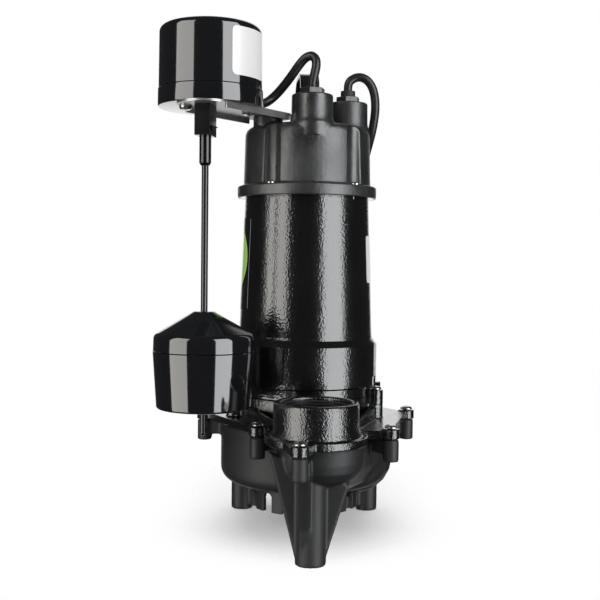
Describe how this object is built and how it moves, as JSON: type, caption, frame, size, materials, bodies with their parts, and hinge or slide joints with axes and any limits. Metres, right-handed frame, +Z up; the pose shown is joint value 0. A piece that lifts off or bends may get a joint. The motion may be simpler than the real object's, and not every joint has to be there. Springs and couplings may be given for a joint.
{
  "type": "submersible sump pump",
  "caption": "Upright submersible sump pump on three legs with a threaded discharge collar and a vertical rod float switch on a side bracket.",
  "frame": {"origin": "on the floor under the feet, at the middle of the box round the pump without its supply cord", "axes": "+Z up along the motor's axis and out of the discharge collar, -Y towards the discharge collar, which is the front, -X towards the float switch"},
  "size_m": [0.2296, 0.4288, 0.4372],
  "materials": {
    "grey_plastic": "fine matte moulded",
    "black_casting": "gloss black coated casting",
    "black_gloss": "mirror gloss black",
    "steel_screws": "bright zinc",
    "dark_sheet": "glossy dark sheet",
    "black_rubber": "satin",
    "laminations": "stacked sheet",
    "copper": "varnished wire",
    "bearing_steel": "ground",
    "bare_aluminium": "cast or drawn",
    "seal_ceramic": "lapped",
    "red_plastic": "moulded",
    "brass": "bright"
  },
  "bodies": {
    "pump": {"volute": "grey_plastic", "strainer": "grey_plastic", "volute_gasket": "black_rubber", "discharge_casting": "black_casting", "volute_screws": "steel_screws", "motor_housing": "black_casting", "housing_screws": "steel_screws", "housing_o_ring": "black_rubber", "top_cover": "grey_plastic", "cover_screws": "steel_screws", "cover_o_ring": "black_rubber", "switch_gland_nut": "grey_plastic", "switch_grommet": "black_rubber", "power_gland_nut": "grey_plastic", "power_grommet": "black_rubber", "lift_handle": "dark_sheet", "handle_screws": "steel_screws", "run_capacitor": "bare_aluminium", "stator_core": "laminations", "stator_windings": "copper", "bearing_bracket": "bare_aluminium", "upper_bearing": "bearing_steel", "lower_bearing": "bearing_steel", "seal_seat": "seal_ceramic", "switch_bracket": "dark_sheet", "bracket_screw": "steel_screws", "switch_base": "black_gloss", "switch_case": "black_gloss", "switch_screws": "steel_screws", "rod_guide": "black_gloss", "guide_pin": "black_gloss", "case_grommet": "black_rubber", "microswitch": "red_plastic", "arm_pin": "steel_screws", "switch_lead": "black_rubber", "power_cord": "black_rubber", "power_cord_coil": "black_rubber", "cord_tie": "black_rubber", "plug_body": "black_rubber", "plug_blades": "brass"},
    "rod": {"float_rod": "dark_sheet", "rod_sleeve": "black_gloss", "rod_stop": "black_gloss"},
    "float": {"float_lower": "black_gloss", "float_upper": "black_gloss"},
    "arm": {"switch_arm": "steel_screws"},
    "rotor": {"motor_shaft": "bearing_steel", "rotor_core": "laminations", "seal_head": "black_rubber", "impeller": "black_gloss", "impeller_nut": "steel_screws"}
  },
  "joints": [
    {"name": "rod_slide", "type": "slide", "parent": "pump", "child": "rod", "axis": [0, 0, 1], "range_m": [0, 0.008]},
    {"name": "float_slide", "type": "slide", "parent": "rod", "child": "float", "axis": [0, 0, 1], "range_m": [0, 0.1193]},
    {"name": "switch_arm", "type": "hinge", "parent": "pump", "child": "arm", "pos_m": [-0.07165, -0.01425, 0.3897], "axis": [-1, 0, 0], "range_deg": [0, 18.5]},
    {"name": "rotor_spin", "type": "hinge", "parent": "pump", "child": "rotor", "pos_m": [0.01215, 0.04625, 0.1204], "axis": [0, 0, 1], "continuous": true}
  ],
  "couplings": [
    {"joint": "switch_arm", "follows": "rod_slide", "rad_per_m": 40.3}
  ]
}
